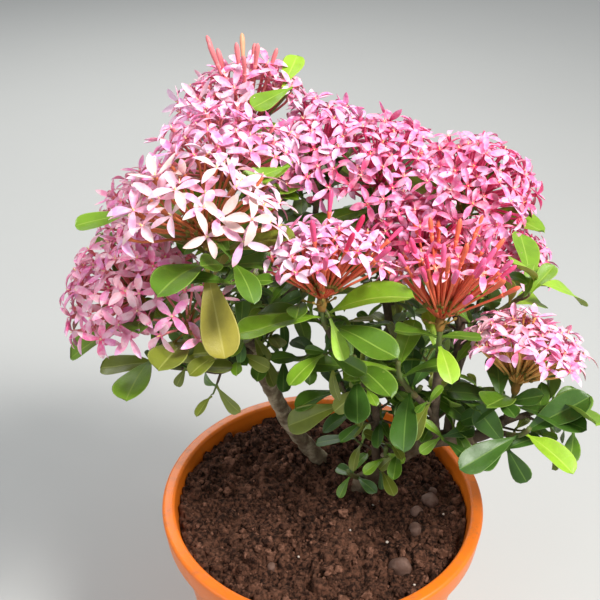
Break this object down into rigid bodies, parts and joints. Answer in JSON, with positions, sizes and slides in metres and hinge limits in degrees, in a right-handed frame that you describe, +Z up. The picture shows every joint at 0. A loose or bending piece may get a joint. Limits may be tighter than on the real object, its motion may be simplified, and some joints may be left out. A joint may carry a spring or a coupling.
{
  "type": "potted dwarf ixora",
  "caption": "Dwarf ixora shrub with domed pink flower heads over leafy shoots on leaning woody stems, standing in soil in a tapered plastic nursery pot.",
  "frame": {"origin": "centre of the pot's flat underside", "axes": "+Z up along the pot's axis, +X to the plant's right as pictured, -Y to its front"},
  "size_m": [0.2909, 0.2352, 0.4448],
  "materials": {
    "pot_plastic": "satin",
    "potting_soil": "matte",
    "bark": "matte",
    "blossom": "matte",
    "leaf": "satin"
  },
  "bodies": {
    "root": {"pot": "pot_plastic", "soil": "potting_soil", "stem_left": "bark", "stem_right": "bark", "bough_left": "bark", "bough_front": "bark", "bough_top": "bark", "bough_centre_left": "bark", "bough_back": "bark", "bough_back_left": "bark", "bough_centre_front": "bark", "bough_centre": "bark", "bough_back_centre": "bark", "bough_front_right": "bark", "bough_right_up": "bark", "bough_back_right": "bark", "bough_right": "bark", "blossom_top": "blossom", "blossom_violet": "blossom", "blossom_pale": "blossom", "blossom_left": "blossom", "blossom_left_low": "blossom", "blossom_centre_left": "blossom", "blossom_centre": "blossom", "blossom_right": "blossom", "blossom_centre_right": "blossom", "blossom_front": "blossom", "blossom_front_right": "blossom", "blossom_right_low": "blossom", "blossom_back_left": "blossom", "blossom_back": "blossom", "blossom_back_centre": "blossom", "blossom_back_right": "blossom", "foliage_left": "leaf", "foliage_centre_left": "leaf", "foliage_centre": "leaf", "foliage_centre_right": "leaf", "foliage_low_centre": "leaf", "foliage_low_right": "leaf", "foliage_right_up": "leaf", "foliage_right": "leaf", "foliage_right_low": "leaf", "foliage_basal_left": "leaf", "foliage_basal_right": "leaf", "foliage_back_left": "leaf", "foliage_back": "leaf", "foliage_back_right": "leaf"}
  },
  "joints": []
}
